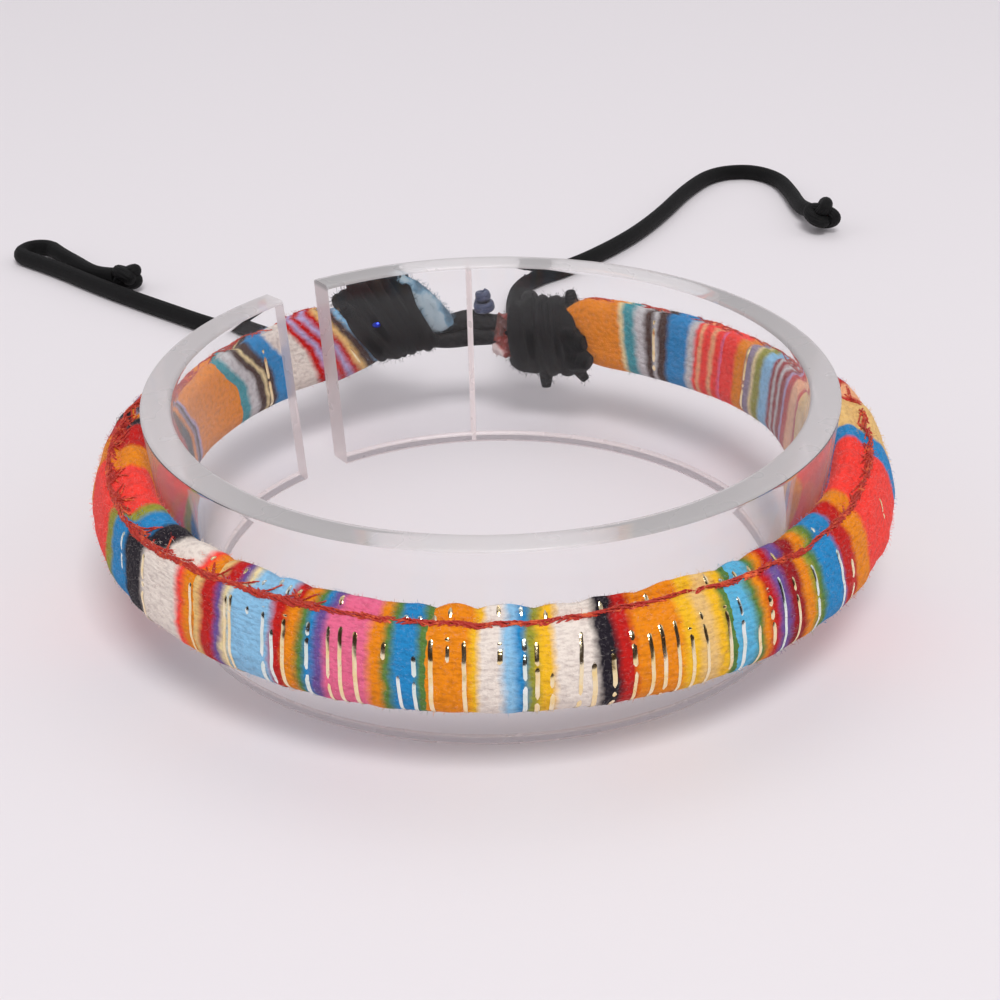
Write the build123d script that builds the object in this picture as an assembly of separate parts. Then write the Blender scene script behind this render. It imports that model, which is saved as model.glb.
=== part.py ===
from build123d import *
from collections import namedtuple
import math
import os

# Tie-on bracelet of padded striped cloth on a clear display ring. Millimetres, +Z up.
# The origin is the centre of the display ring on the surface that it stands on.
# +X is to the right and +Y away from someone who faces the closed side of the bracelet.
# Angles go round the ring from +X, towards +Y, in degrees.

# Display ring: one tapered wall, wider at the top, with a gap between two flat ends
ring_height = 18.6
ring_foot_radius = 28.1
ring_top_radius = 30.0
ring_wall = 2.6
ring_edge_round = 0.35
ring_gap_centre = 130.2
ring_gap_width = 5.4

# Band: padded cloth tube that leans on the wall of the ring
band_height = 8.4
band_thickness = 5.2
band_middle = 10.4
band_clearance = 0.2

# Bindings: black cord wound round the narrowed ends of the cloth
binding_clearance = 0.12
left_binding_start = 115.0
left_binding_end = 101.2
left_binding_height = 8.0
left_binding_thickness = 6.2
left_binding_lift = 2.25
left_binding_lean = 34.0
left_binding_end_lean = 20.0
right_binding_start = 69.6
right_binding_end = 86.0
right_binding_height = 8.0
right_binding_thickness = 6.3
right_binding_lift = -0.4
right_binding_lean = 16.0
neck_height = 4.4
left_neck_lift = 1.0
neck_thickness = 2.8

# Cloth tips that come out of the bindings
left_tip_length = 2.9
left_tip_height = 5.2
left_tip_thickness = 4.6
left_tip_lift = 3.2
right_tip_length = 2.0
right_tip_height = 5.4
right_tip_thickness = 4.4
right_tip_lift = -0.1

# Cord: the two tails, and the two strands that link the bindings
cord_diameter = 2.0
strand_diameter = 1.95
strand_inset = 2.0
strand_lift = -0.2
strand_clearance = 0.12
strand_seat = 0.6
socket_clearance = 0.08
socket_reach = 6.0
strand_overlap = 3.0

# Knots
left_knot_diameter = 3.8
left_knot_length = 4.4
right_knot_diameter = 4.6
right_knot_length = 5.0
tail_knot_stub = 1.0
link_knot_diameter = 2.4
link_knot_height = 2.0
link_knot_angle = 91.1

# Routes of the two tails, by hand: out of the binding, down to the surface, then along it
right_tail_route = [
    (4.3, 34.2, 11.0),
    (4.5, 38.0, 11.0),
    (4.6, 41.3, 9.4),
    (4.5, 44.0, 6.6),
    (4.2, 46.6, 3.8),
    (3.7, 50.2, 1.7),
    (3.3, 55.2, 1.0),
    (3.1, 61.5, 1.0),
    (3.4, 68.0, 1.0),
    (6.6, 71.8, 1.0),
    (11.2, 75.6, 1.0),
    (16.4, 80.4, 1.0),
    (20.6, 87.4, 1.0),
    (25.0, 96.3, 1.0),
    (29.0, 104.4, 1.0),
    (32.6, 108.2, 1.0),
    (37.6, 108.8, 1.0),
    (41.1, 105.3, 1.0),
    (41.3, 99.6, 1.0),
    (41.3, 94.8, 1.1),
    (41.8, 91.4, 1.7),
    (43.2, 89.2, 2.1),
]
left_tail_route = [
    (-12.2, 32.2, 11.6),
    (-13.5, 35.7, 11.6),
    (-14.5, 38.9, 10.0),
    (-15.4, 41.6, 7.2),
    (-16.6, 44.2, 4.2),
    (-18.6, 46.8, 1.9),
    (-21.8, 49.4, 1.0),
    (-27.0, 52.6, 1.0),
    (-32.8, 56.5, 1.0),
    (-38.0, 60.3, 1.0),
    (-43.6, 65.4, 1.0),
    (-48.9, 71.3, 1.0),
    (-53.3, 75.3, 1.0),
    (-57.0, 77.3, 1.0),
    (-59.8, 79.0, 1.0),
    (-60.2, 80.9, 1.0),
    (-59.2, 82.5, 1.0),
    (-57.4, 82.9, 1.0),
    (-54.0, 81.3, 1.0),
    (-50.5, 78.3, 1.2),
    (-47.8, 74.6, 1.6),
    (-45.6, 72.2, 2.0),
]

# Cloth outline as shares of the band's thickness, from the ring outwards, and of its height
cloth_outline = {
    "inner low": (0.00, 0.15),
    "inner high": (0.00, 0.86),
    "lip": (0.25, 0.99),
    "groove": (0.50, 0.90),
    "shoulder": (0.80, 0.82),
    "outer": (1.00, 0.42),
    "bottom": (0.48, 0.00),
}

# Outline of a binding, neck or tip, in the same shares
bundle_outline = {
    "inner low": (0.00, 0.22),
    "inner high": (0.00, 0.76),
    "lip": (0.12, 0.93),
    "groove": (0.42, 1.00),
    "shoulder": (0.86, 0.83),
    "outer": (0.98, 0.48),
    "bottom": (0.42, 0.00),
}

# Band sections: way from the right binding to the left one, fullness of the thickness and of the height,
# lift as a share of the band's height, and lean as a share of that of the nearer binding
band_sections = [
    (0.00, 0.92, 0.88, 0.036, 1.00),
    (0.03, 0.92, 0.88, 0.042, 0.50),
    (0.07, 0.94, 0.90, 0.036, 0.10),
    (0.14, 0.98, 0.95, 0.012, 0.00),
    (0.21, 1.00, 1.00, -0.012, 0.00),
    (0.29, 1.01, 1.01, -0.054, 0.00),
    (0.37, 1.02, 1.02, -0.065, 0.00),
    (0.45, 1.00, 1.00, -0.054, 0.00),
    (0.52, 1.00, 1.00, -0.036, 0.00),
    (0.59, 1.00, 1.04, -0.018, 0.00),
    (0.66, 1.00, 1.06, -0.006, 0.00),
    (0.73, 1.00, 1.03, 0.006, 0.00),
    (0.80, 0.99, 1.00, 0.024, 0.00),
    (0.87, 0.98, 0.98, 0.048, 0.00),
    (0.93, 0.97, 0.96, 0.071, 0.15),
    (0.97, 0.96, 0.95, 0.107, 0.60),
    (1.00, 0.92, 0.92, 0.180, 1.00),
]

# Binding sections: way from start to end, fullness of the thickness, fullness and lift of the height
binding_sections = [
    (0.00, 0.86, 0.80, -0.04),
    (0.28, 1.00, 0.96, -0.02),
    (0.70, 1.00, 1.00, 0.00),
    (1.00, 0.88, 0.92, 0.00),
]

# Tip sections: way out of the binding, fullness of the thickness, fullness of the height
tip_sections = [
    (0.00, 1.00, 1.00),
    (0.40, 0.94, 0.92),
    (0.75, 0.78, 0.70),
    (1.00, 0.56, 0.46),
]

# Knot outlines: share of the length, share of the diameter, with a bulge between each two
knot_outline = [(0.00, 0.50), (0.25, 1.00), (0.50, 0.80), (0.76, 0.94), (1.00, 0.46)]

# One end of the band: the angles, leans and size of its binding, its cloth tip, and which way its angles run
End = namedtuple(
    "End",
    "start end lean end_lean middle thickness height neck_middle tip_length tip_thickness tip_height tip_middle way",
)
left_end = End(
    start=left_binding_start,
    end=left_binding_end,
    lean=left_binding_lean,
    end_lean=left_binding_end_lean,
    middle=band_middle + left_binding_lift,
    thickness=left_binding_thickness,
    height=left_binding_height,
    neck_middle=band_middle + left_binding_lift + left_neck_lift,
    tip_length=left_tip_length,
    tip_thickness=left_tip_thickness,
    tip_height=left_tip_height,
    tip_middle=band_middle + left_tip_lift,
    way=-1,
)
right_end = End(
    start=right_binding_start,
    end=right_binding_end,
    lean=right_binding_lean,
    end_lean=0.0,
    middle=band_middle + right_binding_lift,
    thickness=right_binding_thickness,
    height=right_binding_height,
    neck_middle=band_middle + right_binding_lift,
    tip_length=right_tip_length,
    tip_thickness=right_tip_thickness,
    tip_height=right_tip_height,
    tip_middle=band_middle + right_tip_lift,
    way=1,
)
strand_middle = band_middle + strand_lift


def wall_radius(z):
    """Radius of the ring's outer face at height z."""
    return ring_foot_radius + (ring_top_radius - ring_foot_radius) * z / ring_height


def arc_degrees(length, radius):
    """Angle that a length takes up on a circle."""
    return math.degrees(length / radius)


clearance_angle = arc_degrees(binding_clearance, wall_radius(band_middle))


def cross_plane(angle, lean=0.0):
    """Plane across the band, x outwards, y up from its middle height, leaning towards larger angles."""
    a = math.radians(angle)
    tilt = math.radians(lean)
    along = Vector(-math.sin(a), math.cos(a), 0)
    normal = Vector(0, 0, 1) * math.sin(tilt) - along * math.cos(tilt)
    return Plane(origin=(0, 0, band_middle), x_dir=(math.cos(a), math.sin(a), 0), z_dir=normal)


def section(outline, angle, middle, size, inset=0.0, lean=0.0):
    """Closed outline across the band, its inner side along the wall of the ring at the clearance and inset."""
    thickness, height = size
    stretch = 1 / math.cos(math.radians(lean))

    def place(name):
        across, up = outline[name]
        z = middle + (up - 0.5) * height
        return (wall_radius(z) + band_clearance + inset + across * thickness, (z - band_middle) * stretch)

    inner = Line(place("inner low"), place("inner high"))
    lip = ThreePointArc(place("inner high"), place("lip"), place("groove"))
    shoulder = ThreePointArc(place("groove"), place("shoulder"), place("outer"))
    belly = TangentArc(place("outer"), place("bottom"), tangent=shoulder % 1)
    heel = TangentArc(place("bottom"), place("inner low"), tangent=belly % 1)
    return cross_plane(angle, lean) * make_face([inner, lip, shoulder, belly, heel])


def display_ring():
    """Tapered wall turned round the axis, open at the gap."""
    corners = Polyline(
        (ring_foot_radius - ring_wall, 0),
        (ring_foot_radius, 0),
        (ring_top_radius, ring_height),
        (ring_top_radius - ring_wall, ring_height),
        close=True,
    )
    wall = make_face(corners)
    wall = fillet(wall.vertices(), ring_edge_round)
    gap = arc_degrees(ring_gap_width, ring_foot_radius)
    turned = revolve(Plane.XZ * wall, Axis.Z, 360 - gap)
    return Rot(0, 0, ring_gap_centre + gap / 2) * turned


def band_body():
    """Cloth tube from the right binding round the front to the left one."""
    first = right_end.start - clearance_angle
    last = left_end.start + clearance_angle - 360
    sections = []
    for way, wide, tall, lift, share in band_sections:
        angle = first + (last - first) * way
        lean = share * (right_end.lean if way < 0.5 else left_end.lean)
        middle = band_middle + lift * band_height
        size = (band_thickness * wide, band_height * tall)
        sections.append(section(cloth_outline, angle, middle, size, 0.0, lean))
    return loft(sections)


def neck(side, clearance=0.0):
    """Narrowed cloth under a binding, or with a clearance the pocket that it lies in."""
    inset = (side.thickness - neck_thickness) / 2 - clearance
    size = (neck_thickness + 2 * clearance, neck_height + 2 * clearance)
    beyond = side.way * clearance_angle
    first = section(bundle_outline, side.start - beyond, side.neck_middle, size, inset, side.lean)
    last = section(bundle_outline, side.end + beyond, side.neck_middle, size, inset, side.end_lean)
    return loft([first, last])


def tip(side):
    """Cloth that comes out of a binding, rounded off."""
    start = side.end + side.way * clearance_angle
    reach = side.way * arc_degrees(side.tip_length, wall_radius(side.tip_middle))
    sections = []
    for way, wide, tall in tip_sections:
        inset = (side.thickness - side.tip_thickness * wide) / 2
        size = (side.tip_thickness * wide, side.tip_height * tall)
        lean = side.end_lean * (1 - way)
        sections.append(section(bundle_outline, start + reach * way, side.tip_middle, size, inset, lean))
    return loft(sections)


def strand_place(level):
    """Distance from the axis and height of the middle of a linking strand, at level 1 or -1."""
    radius = strand_diameter / 2
    z = strand_middle + level * (radius + strand_clearance / 2)
    return wall_radius(z) + band_clearance + strand_inset + radius, z


def strand(level, spare=0.0):
    """Linking cord from the right tip, the lower one to the left binding and the upper one to its tip."""
    place, z = strand_place(level)
    first = right_end.end + 2 * clearance_angle + arc_degrees(right_end.tip_length, wall_radius(right_end.tip_middle))
    last = left_end.end - (arc_degrees(strand_seat, place) if level > 0 else 0)
    over = arc_degrees(strand_overlap, place)
    circle = cross_plane(first) * Pos(place, z - band_middle) * Circle(strand_diameter / 2 + spare)
    tube = revolve(circle, Axis.Z, last - first + over)
    return split(tube, bisect_by=cross_plane(last, left_end.end_lean), keep=Keep.TOP)


def binding(side, route):
    """Wound cord round a neck of the cloth, with a socket where its tail leaves."""
    sections = []
    for way, wide, tall, lift in binding_sections:
        inset = side.thickness * (1 - wide) / 2
        middle = side.middle + lift * side.height
        size = (side.thickness * wide, side.height * tall)
        angle = side.start + (side.end - side.start) * way
        lean = side.lean + (side.end_lean - side.lean) * way
        sections.append(section(bundle_outline, angle, middle, size, inset, lean))
    start = Vector(*route[0])
    leaving = Vector(*route[1]) - start
    upwards = (Align.CENTER, Align.CENTER, Align.MIN)
    socket = Cylinder(cord_diameter / 2 + socket_clearance, socket_reach, align=upwards)
    return loft(sections) - neck(side, binding_clearance) - Plane(origin=start, z_dir=leaving) * socket


def cord_path(route):
    """Straight runs joined by arcs as large as the runs allow, and the radii of the arcs."""
    points = [Vector(*point) for point in route]
    runs = [after - before for before, after in zip(points, points[1:])]
    radii = []
    for before, after in zip(runs, runs[1:]):
        half_turn = math.radians(before.get_angle(after) / 2)
        radii.append(0.45 * min(before.length, after.length) / math.tan(half_turn))
    return FilletPolyline(*points, radius=radii), radii


def tail(route):
    """Free cord along its route."""
    path, radii = cord_path(route)
    start = Plane(origin=route[0], z_dir=Vector(*route[1]) - Vector(*route[0]))
    tube = sweep(start * Circle(cord_diameter / 2), path=path)
    share = tube.volume / (math.pi * cord_diameter**2 / 4 * path.length)
    print("tail of", round(path.length, 1), "mm, volume share", round(share, 4), "radii", [round(r, 1) for r in radii])
    return tube


def knot_solid(length, diameter, stub_length=0.0):
    """Lumps of a tight knot turned round +Z, and the short cut end of the cord past it."""
    low, first, waist, second, high = [(diameter / 2 * wide, length * along) for along, wide in knot_outline]
    lumps = [ThreePointArc(low, first, waist), ThreePointArc(waist, second, high)]
    sides = [Line((0, 0), low), *lumps, Line(high, (0, length)), Line((0, length), (0, 0))]
    knot = revolve(Plane.XZ * make_face(sides), Axis.Z)
    if stub_length:
        knot += Pos(0, 0, length + stub_length / 2) * Cylinder(cord_diameter / 2, stub_length)
    return knot


def tail_knot(route, length, diameter):
    """Stopper knot at the end of a tail, in line with its last run."""
    end = Vector(*route[-1])
    heading = end - Vector(*route[-2])
    return Plane(origin=end, z_dir=heading) * knot_solid(length, diameter, tail_knot_stub)


def link_knot():
    """Small knot that stands on the upper linking strand."""
    radius = strand_diameter / 2
    place, z = strand_place(1)
    a = math.radians(link_knot_angle)
    foot = Pos(place * math.cos(a), place * math.sin(a), z + radius + strand_clearance)
    return foot * knot_solid(link_knot_height, link_knot_diameter)


def band():
    """Padded cloth with its narrowed ends and the tips that come out of the bindings."""
    cloth = band_body()
    for side in (left_end, right_end):
        cloth += neck(side)
        cloth += tip(side)
    return cloth - strand(1, strand_clearance) - strand(-1, strand_clearance)


pieces = {
    "display_ring": display_ring(),
    "band": band(),
    "left_binding": binding(left_end, left_tail_route),
    "right_binding": binding(right_end, right_tail_route),
    "link_strand_upper": strand(1),
    "link_strand_lower": strand(-1),
    "link_knot": link_knot(),
    "left_tail": tail(left_tail_route),
    "left_knot": tail_knot(left_tail_route, left_knot_length, left_knot_diameter),
    "right_tail": tail(right_tail_route),
    "right_knot": tail_knot(right_tail_route, right_knot_length, right_knot_diameter),
}

os.makedirs("parts", exist_ok=True)
for name, piece in pieces.items():
    export_step(piece, "parts/" + name + ".step")
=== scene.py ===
import math
import random

import bmesh
import bpy
from mathutils import Matrix, Vector, noise
from mathutils.bvhtree import BVHTree


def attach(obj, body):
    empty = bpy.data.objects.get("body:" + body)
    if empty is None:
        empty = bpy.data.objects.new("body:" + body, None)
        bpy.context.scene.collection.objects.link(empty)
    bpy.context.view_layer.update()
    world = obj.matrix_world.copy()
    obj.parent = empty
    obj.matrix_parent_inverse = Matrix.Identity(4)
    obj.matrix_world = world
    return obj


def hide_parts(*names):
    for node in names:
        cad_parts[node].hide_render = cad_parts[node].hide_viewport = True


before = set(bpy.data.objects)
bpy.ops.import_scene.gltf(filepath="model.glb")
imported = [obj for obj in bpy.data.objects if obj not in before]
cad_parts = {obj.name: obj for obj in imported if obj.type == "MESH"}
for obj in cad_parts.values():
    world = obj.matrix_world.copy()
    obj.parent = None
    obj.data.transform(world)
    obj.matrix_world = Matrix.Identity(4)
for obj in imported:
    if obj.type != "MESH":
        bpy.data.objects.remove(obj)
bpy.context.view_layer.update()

# The view: a camera held low in front of the closed side of the bracelet, a hand's length away.
# It looks down at the ring by 28 degrees and leans a little to one side.
mm = 0.001
camera_place = Vector((0, -149.8, 86.5)) * mm
camera_pan = math.radians(0.22)
camera_tilt = math.radians(1.98)
camera_roll = math.radians(1.16)
camera_data = bpy.data.cameras.new("camera")
camera_data.sensor_width = 36
camera_data.lens = 68.4
camera_data.clip_start = 0.01
camera_data.clip_end = 20
camera = bpy.data.objects.new("camera", camera_data)
bpy.context.scene.collection.objects.link(camera)
aim = (-camera_place).to_track_quat("-Z", "Y").to_matrix().to_4x4()
pan_and_tilt = Matrix.Rotation(-camera_pan, 4, "Y") @ Matrix.Rotation(camera_tilt, 4, "X")
roll = Matrix.Rotation(-camera_roll, 4, "Z")
camera.matrix_world = Matrix.Translation(camera_place) @ aim @ pan_and_tilt @ roll
bpy.context.scene.camera = camera
bpy.context.scene.view_settings.view_transform = "Standard"

# Tails: two lengths of limp black cord, each out of its binding, down to the surface and along it.
# The cord is braided round and waxed, so it lies in loose curves and shows only a dull gloss.
# A route is the solids' list of points, in millimetres, with some moved or added where the cord shows.
cord_diameter = 2.0 * mm
right_tail_route = [
    (4.3, 34.2, 11.0),
    (4.5, 38.0, 11.0),
    (4.6, 41.3, 9.4),
    (4.5, 44.0, 6.6),
    (4.2, 46.6, 3.8),
    (3.7, 50.2, 1.7),
    (3.2, 54.8, 1.0),
    (3.0, 60.0, 1.0),
    (3.7, 65.8, 1.0),
    (6.6, 69.6, 1.0),
    (10.6, 72.4, 1.0),
    (15.4, 78.0, 1.0),
    (19.6, 84.0, 1.0),
    (23.6, 91.6, 1.0),
    (27.4, 100.2, 1.0),
    (31.8, 107.2, 1.0),
    (37.4, 108.2, 1.0),
    (40.8, 104.2, 1.0),
    (41.6, 98.2, 1.0),
    (41.8, 93.2, 1.1),
    (42.3, 89.8, 1.6),
    (43.0, 87.8, 2.0),
]
left_tail_route = [
    (-12.2, 32.2, 11.6),
    (-13.5, 35.7, 11.6),
    (-14.5, 38.9, 10.0),
    (-15.4, 41.6, 7.2),
    (-16.6, 44.2, 4.2),
    (-18.6, 46.6, 1.9),
    (-21.8, 48.8, 1.0),
    (-27.0, 51.8, 1.0),
    (-32.6, 55.5, 1.0),
    (-38.2, 60.3, 1.0),
    (-43.6, 64.9, 1.0),
    (-48.6, 69.5, 1.0),
    (-53.0, 73.9, 1.0),
    (-57.1, 77.5, 1.0),
    (-58.4, 78.6, 1.0),
    (-59.5, 79.6, 1.0),
    (-59.7, 81.1, 1.0),
    (-59.0, 82.4, 1.0),
    (-57.6, 82.9, 1.0),
    (-56.2, 82.4, 1.0),
    (-55.4, 81.2, 1.0),
    (-54.0, 79.2, 1.0),
    (-52.1, 76.9, 1.0),
    (-49.8, 73.8, 1.0),
    (-47.6, 71.8, 1.2),
    (-45.8, 70.6, 1.6),
]
right_tail_length = 113.1 * mm
left_tail_length = 93.6 * mm
cord_strands_round = 6
cord_pitch = 1.6
cord_black = (9, 9, 10)
cord_dust = (40, 39, 42)


def dye(shade):
    """Colour as the shader needs it, from the 0 to 255 values that the eye sees."""
    shares = [value / 255 for value in shade]
    return tuple(s / 12.92 if s <= 0.04045 else ((s + 0.055) / 1.055) ** 2.4 for s in shares) + (1.0,)


def node(tree, kind, inputs, **settings):
    """Shader node with its settings, whose inputs take the given values or links."""
    made = tree.nodes.new("ShaderNode" + kind)
    for name, value in settings.items():
        setattr(made, name, value)
    for name, value in inputs.items():
        if isinstance(value, bpy.types.NodeSocket):
            tree.links.new(value, made.inputs[name])
        else:
            made.inputs[name].default_value = value
    return made


def sums(tree, operation, first, second=0.0):
    """Result of one step of arithmetic between two values or links."""
    return node(tree, "Math", {0: first, 1: second}, operation=operation).outputs[0]


def blended(tree, factor, first, second):
    """Mix of two colours."""
    return node(tree, "Mix", {0: factor, 6: first, 7: second}, data_type="RGBA").outputs[2]


def place_on_piece(tree):
    """Place on the piece, for patterns that go right through it."""
    return node(tree, "TexCoord", {}).outputs["Object"]


def spanned(tree, value, low=0.0, high=1.0, first=0.0, last=1.0, eased=False):
    """Value carried over from the range low to high to the one from first to last."""
    ends = {0: value, 1: low, 2: high, 3: first, 4: last}
    return node(tree, "MapRange", ends, interpolation_type="SMOOTHSTEP" if eased else "LINEAR").outputs[0]


def mottle(tree, place, scale, detail):
    """Soft random patches, about as many to the metre as the scale."""
    return node(tree, "TexNoise", {"Vector": place, "Scale": scale, "Detail": detail}).outputs[0]


def raised(tree, strength, distance, height):
    """Normal of a surface with a fine relief."""
    return node(tree, "Bump", {"Strength": strength, "Distance": distance, "Height": height}).outputs[0]


def finished(tree, surface, inputs):
    """Plain shader of a material, put on its surface."""
    shader = node(tree, "BsdfPrincipled", inputs)
    tree.links.new(shader.outputs[0], surface.inputs[0])


def new_material(name):
    """Material with an empty node tree and its output."""
    material = bpy.data.materials.new(name)
    material.use_nodes = True
    material.node_tree.nodes.clear()
    return material, material.node_tree, material.node_tree.nodes.new("ShaderNodeOutputMaterial")


def new_group(name, inputs, outputs):
    """Empty shader node group, with its input values and its output links to be made."""
    group = bpy.data.node_groups.new(name, "ShaderNodeTree")
    for label, kind, value in inputs:
        socket = group.interface.new_socket(label, in_out="INPUT", socket_type="NodeSocket" + kind)
        if value is not None:
            socket.default_value = value
    for label, kind in outputs:
        group.interface.new_socket(label, in_out="OUTPUT", socket_type="NodeSocket" + kind)
    return group, group.nodes.new("NodeGroupInput").outputs, group.nodes.new("NodeGroupOutput").inputs


def placed(tree, group, inputs):
    """A node group put into a material or another group, with its values."""
    return node(tree, "Group", inputs, node_tree=group).outputs


plait, plait_in, plait_out = new_group(
    "plaited strands",
    [("Round", "Float", 0.0), ("Along", "Float", 0.0), ("Strands", "Float", 6.0), ("Pitch", "Float", 1.6)],
    [("Height", "Float")],
)
turn = sums(plait, "MULTIPLY", plait_in["Round"], plait_in["Strands"])
step = sums(plait, "DIVIDE", plait_in["Along"], plait_in["Pitch"])
one_way = sums(plait, "SINE", sums(plait, "MULTIPLY", sums(plait, "ADD", turn, step), 2 * math.pi))
other_way = sums(plait, "SINE", sums(plait, "MULTIPLY", sums(plait, "SUBTRACT", turn, step), 2 * math.pi))
plait.links.new(sums(plait, "MAXIMUM", one_way, other_way), plait_out["Height"])

haze, haze_in, haze_out = new_group(
    "loose fibres",
    [
        ("Colour", "Color", None), ("Fibre colour", "Color", None),
        ("Amount", "Float", 0.2), ("Scale", "Float", 900.0),
    ],
    [("Colour", "Color"), ("Height", "Float")],
)
fluff = node(haze, "TexNoise", {
    "Vector": place_on_piece(haze), "Scale": haze_in["Scale"], "Detail": 4.0, "Roughness": 0.7,
}).outputs[0]
share = sums(haze, "MULTIPLY", spanned(haze, fluff, 0.52, 0.72), haze_in["Amount"])
haze.links.new(blended(haze, share, haze_in["Colour"], haze_in["Fibre colour"]), haze_out["Colour"])
haze.links.new(fluff, haze_out["Height"])


def with_fibres(tree, colour, fibre_shade, amount, scale):
    """Colour with loose fibres over it, and the height of those fibres."""
    return placed(tree, haze, {
        "Colour": colour, "Fibre colour": dye(fibre_shade), "Amount": amount, "Scale": scale,
    })


black_cord, tree, surface = new_material("black cord")
uv = node(tree, "SeparateXYZ", {0: node(tree, "TexCoord", {}).outputs["UV"]}).outputs
ridges = placed(tree, plait, {
    "Round": uv[0], "Along": uv[1], "Strands": cord_strands_round, "Pitch": cord_pitch,
})[0]
dusty = with_fibres(tree, dye(cord_black), cord_dust, 0.3, 2200)
relief = sums(tree, "ADD", ridges, sums(tree, "MULTIPLY", dusty["Height"], 1.2))
finished(tree, surface, {
    "Base Color": dusty["Colour"],
    "Roughness": spanned(tree, dusty["Height"], first=0.5, last=0.8),
    "Specular IOR Level": 0.25,
    "Normal": raised(tree, 0.6, 0.07 * mm, relief),
})


def add_object(name, data, material):
    """Piece of the object, on its only body, with its material and the slot of its finish."""
    piece = bpy.data.objects.new(name, data)
    bpy.context.scene.collection.objects.link(piece)
    data.materials.append(material)
    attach(piece, "root")
    return piece


def solid_mesh(bm, name, smooth=True):
    """Mesh made from a finished bmesh, with its faces outwards, shaded smooth or left in facets."""
    bmesh.ops.recalc_face_normals(bm, faces=bm.faces[:])
    mesh = bpy.data.meshes.new(name)
    bm.to_mesh(mesh)
    bm.free()
    mesh.polygons.foreach_set("use_smooth", [smooth] * len(mesh.polygons))
    return mesh


def cord_curve(name, route):
    """Curve of one open spline with the points of a route, in millimetres, as its control points."""
    curve = bpy.data.curves.new(name, "CURVE")
    curve.dimensions = "3D"
    curve.resolution_u = 10
    spline = curve.splines.new("NURBS")
    spline.points.add(len(route) - 1)
    for point, place in zip(spline.points, route):
        point.co = (*(Vector(place) * mm), 1)
    spline.order_u = 3
    spline.use_endpoint_u = True
    return curve


def line_of(curve):
    """Points along a curve that has no thickness yet."""
    holder = bpy.data.objects.new("line", curve)
    mesh = bpy.data.meshes.new_from_object(holder)
    points = [vertex.co.copy() for vertex in mesh.vertices]
    bpy.data.meshes.remove(mesh)
    bpy.data.objects.remove(holder)
    return points


def tubes(name, lines, radius, sides=3, flat=False, taper=None):
    """Mesh of round threads, or of flat fibres, along lists of points, with millimetres along them as V.
    A taper gives the share of the radius at each point."""
    curve = bpy.data.curves.new(name, "CURVE")
    curve.dimensions = "3D"
    curve.use_fill_caps = not flat
    curve.bevel_resolution = sides
    if flat:
        curve.extrude = radius
    else:
        curve.bevel_depth = radius
    for line in lines:
        spline = curve.splines.new("POLY")
        spline.points.add(len(line) - 1)
        for i, (point, place) in enumerate(zip(spline.points, line)):
            point.co = (*place, 1)
            if taper:
                point.radius = taper[i]
    holder = bpy.data.objects.new(name, curve)
    mesh = bpy.data.meshes.new_from_object(holder)
    bpy.data.objects.remove(holder)
    bpy.data.curves.remove(curve)
    length = sum((b - a).length for a, b in zip(lines[0], lines[0][1:])) / mm
    for corner in mesh.uv_layers[0].data:
        corner.uv = (corner.uv[0], corner.uv[1] * length)
    mesh.polygons.foreach_set("use_smooth", [True] * len(mesh.polygons))
    return mesh


def cord_frames(line):
    """Two directions across a line at each of its points, which turn as little as they can."""
    across = Vector((0, 0, 1))
    found = []
    for i, place in enumerate(line):
        heading = (line[min(i + 1, len(line) - 1)] - line[max(i - 1, 0)]).normalized()
        across = (across - heading * across.dot(heading)).normalized()
        found.append((place, across, heading.cross(across)))
    return found


def plies(line, count, distance, pitch):
    """Lines of the plies that are twisted round a line, a given distance from it."""
    walked = [0.0]
    for before, after in zip(line, line[1:]):
        walked.append(walked[-1] + (after - before).length)
    twisted = []
    for ply in range(count):
        points = []
        for way, (place, across, beside) in zip(walked, cord_frames(line)):
            angle = 2 * math.pi * (way / pitch + ply / count)
            points.append(place + (across * math.cos(angle) + beside * math.sin(angle)) * distance)
        twisted.append(points)
    return twisted


tail_lines = {
    "left_tail": line_of(cord_curve("left_tail_line", left_tail_route)),
    "right_tail": line_of(cord_curve("right_tail_line", right_tail_route)),
}

# Tail knots: a tight stopper knot at the end of each tail, tied in the cord itself.
# Its three loops press into each other, and the short cut end is hidden in them.
knot_squeeze = 0.828
knot_seat = 0.45
knot_depth = 0.8
knot_steps = 72
# Rows: the side, the knot's length and diameter in millimetres, and how far it is turned round the cord
for name, length, diameter, turned in (("left", 4.2, 3.5, 0.4), ("right", 5.0, 4.6, 1.2)):
    line = tail_lines[name + "_tail"]
    end = line[-1]
    heading = (end - line[-4]).normalized()
    sideways = heading.cross(Vector((0, 0, 1))).normalized()
    upwards = sideways.cross(heading)
    knot_radius = knot_squeeze * cord_diameter / 2
    centre = end + heading * length * knot_seat * mm
    spread = diameter / 2 * mm - knot_radius
    depth = (length / 2 * mm - knot_radius) * knot_depth
    points = []
    for i in range(knot_steps + 1):
        t = 2 * math.pi * i / knot_steps
        u = (math.sin(t) + 2 * math.sin(2 * t)) / 3
        v = (math.cos(t) - 2 * math.cos(2 * t)) / 3
        w = -math.sin(3 * t)
        u, v = u * math.cos(turned) - v * math.sin(turned), u * math.sin(turned) + v * math.cos(turned)
        points.append(centre + (sideways * v + upwards * u) * spread + heading * w * depth)
    mesh = tubes(name + "_knot_cord", [points], knot_radius, sides=5)
    add_object(name + "_knot_cord", mesh, black_cord)
    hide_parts(name + "_knot")

for name, length in (("left_tail", left_tail_length), ("right_tail", right_tail_length)):
    line = tail_lines[name]
    mesh = tubes(name + "_cord", [line], cord_diameter / 2, sides=5)
    tail = add_object(name + "_cord", mesh, black_cord)
    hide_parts(name)

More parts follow.
